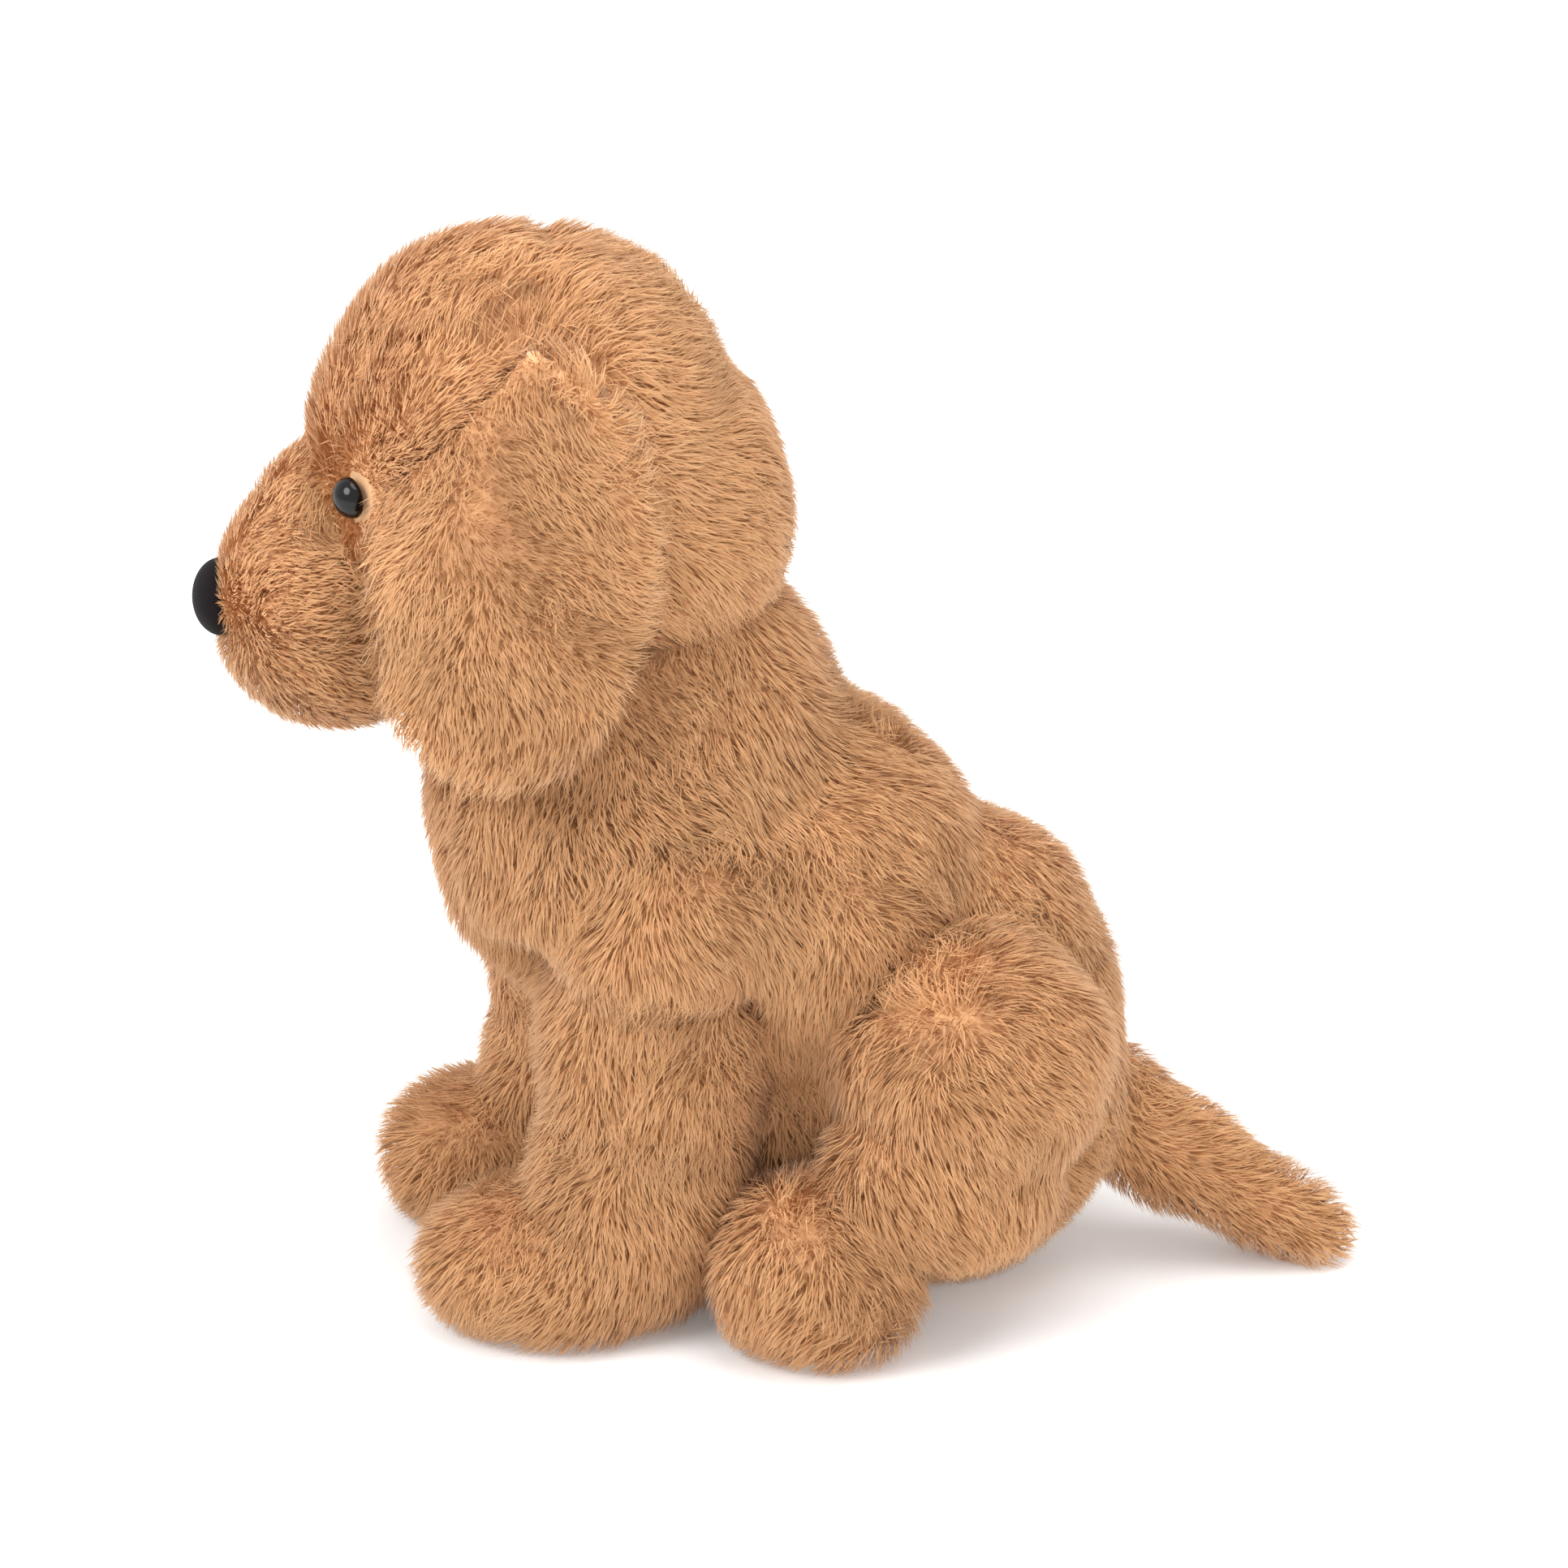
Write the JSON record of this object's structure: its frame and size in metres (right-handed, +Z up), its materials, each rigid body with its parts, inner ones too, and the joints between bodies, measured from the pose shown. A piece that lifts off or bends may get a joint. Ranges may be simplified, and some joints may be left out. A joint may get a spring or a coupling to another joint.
{
  "type": "plush dog",
  "caption": "Sitting plush puppy with long-pile tan skin over fibre stuffing, hanging ears, glossy eyes, a padded nose and a tail lying behind.",
  "frame": {"origin": "on the floor, under the middle of the toy's bounding box", "axes": "+Z up; the dog faces -Y, its tail points along +Y and its left side is +X"},
  "size_m": [0.21, 0.411, 0.389],
  "materials": {
    "tan_plush": "matte",
    "sole_suede": "matte",
    "nose_velour": "matte",
    "fibre_filling": "matte",
    "eye_plastic": "gloss",
    "washer_plastic": "matte"
  },
  "bodies": {
    "torso": {"torso_chest_panel": "tan_plush", "torso_belly_panel": "tan_plush", "torso_left_shoulder_panel": "tan_plush", "torso_right_shoulder_panel": "tan_plush", "torso_left_flank_panel": "tan_plush", "torso_right_flank_panel": "tan_plush", "torso_seat_panel": "tan_plush", "torso_stuffing": "fibre_filling"},
    "neck": {"neck_skin": "tan_plush", "neck_stuffing": "fibre_filling"},
    "head": {"head_gusset": "tan_plush", "face_left_panel": "tan_plush", "face_right_panel": "tan_plush", "chin_panel": "tan_plush", "head_back_left_panel": "tan_plush", "head_back_right_panel": "tan_plush", "head_stuffing": "fibre_filling", "eye_left": "eye_plastic", "eye_right": "eye_plastic", "eye_washer_left": "washer_plastic", "eye_washer_right": "washer_plastic", "nose_cover": "nose_velour", "nose_filling": "fibre_filling"},
    "ear_left": {"ear_left_outer": "tan_plush", "ear_left_lining": "tan_plush"},
    "ear_right": {"ear_right_outer": "tan_plush", "ear_right_lining": "tan_plush"},
    "tail": {"tail_upper_panel": "tan_plush", "tail_lower_panel": "tan_plush", "tail_stuffing": "fibre_filling"},
    "foreleg_left": {"foreleg_left_outer_panel": "tan_plush", "foreleg_left_inner_panel": "tan_plush", "foreleg_left_sole": "sole_suede", "foreleg_left_stuffing": "fibre_filling"},
    "foreleg_right": {"foreleg_right_outer_panel": "tan_plush", "foreleg_right_inner_panel": "tan_plush", "foreleg_right_sole": "sole_suede", "foreleg_right_stuffing": "fibre_filling"},
    "hind_leg_left": {"hind_leg_left_outer_panel": "tan_plush", "hind_leg_left_inner_panel": "tan_plush", "hind_leg_left_sole": "sole_suede", "hind_leg_left_stuffing": "fibre_filling"},
    "hind_leg_right": {"hind_leg_right_outer_panel": "tan_plush", "hind_leg_right_inner_panel": "tan_plush", "hind_leg_right_sole": "sole_suede", "hind_leg_right_stuffing": "fibre_filling"}
  },
  "joints": [
    {"name": "head_turn", "type": "hinge", "parent": "torso", "child": "neck", "pos_m": [0, -0.05, 0.212], "axis": [0, 0, 1], "range_deg": [-25, 25], "stiffness_Nm_per_rad": 4},
    {"name": "head_nod", "type": "hinge", "parent": "neck", "child": "head", "pos_m": [0, -0.05, 0.212], "axis": [1, 0, 0], "range_deg": [-8, 12], "stiffness_Nm_per_rad": 6},
    {"name": "ear_left_flap", "type": "hinge", "parent": "head", "child": "ear_left", "pos_m": [0.0645, -0.1135, 0.34], "axis": [-0.0049, -0.7002, -0.7139], "range_deg": [0, 60]},
    {"name": "ear_right_flap", "type": "hinge", "parent": "head", "child": "ear_right", "pos_m": [-0.0645, -0.1135, 0.34], "axis": [-0.0049, 0.7002, 0.7139], "range_deg": [0, 60]},
    {"name": "foreleg_left_swing", "type": "hinge", "parent": "torso", "child": "foreleg_left", "pos_m": [0.05, -0.045, 0.16], "axis": [-1, 0, 0], "range_deg": [0, 16], "stiffness_Nm_per_rad": 3},
    {"name": "foreleg_right_swing", "type": "hinge", "parent": "torso", "child": "foreleg_right", "pos_m": [-0.05, -0.045, 0.16], "axis": [-1, 0, 0], "range_deg": [0, 16], "stiffness_Nm_per_rad": 3},
    {"name": "hind_leg_left_splay", "type": "hinge", "parent": "torso", "child": "hind_leg_left", "pos_m": [0.056, 0.062, 0.103], "axis": [0, 0, 1], "range_deg": [0, 15], "stiffness_Nm_per_rad": 3},
    {"name": "hind_leg_right_splay", "type": "hinge", "parent": "torso", "child": "hind_leg_right", "pos_m": [-0.056, 0.062, 0.103], "axis": [0, 0, -1], "range_deg": [0, 15], "stiffness_Nm_per_rad": 3},
    {"name": "tail_wag", "type": "hinge", "parent": "torso", "child": "tail", "pos_m": [0, 0.117, 0.057], "axis": [0, 0, 1], "range_deg": [-18, 18], "stiffness_Nm_per_rad": 0.4}
  ]
}
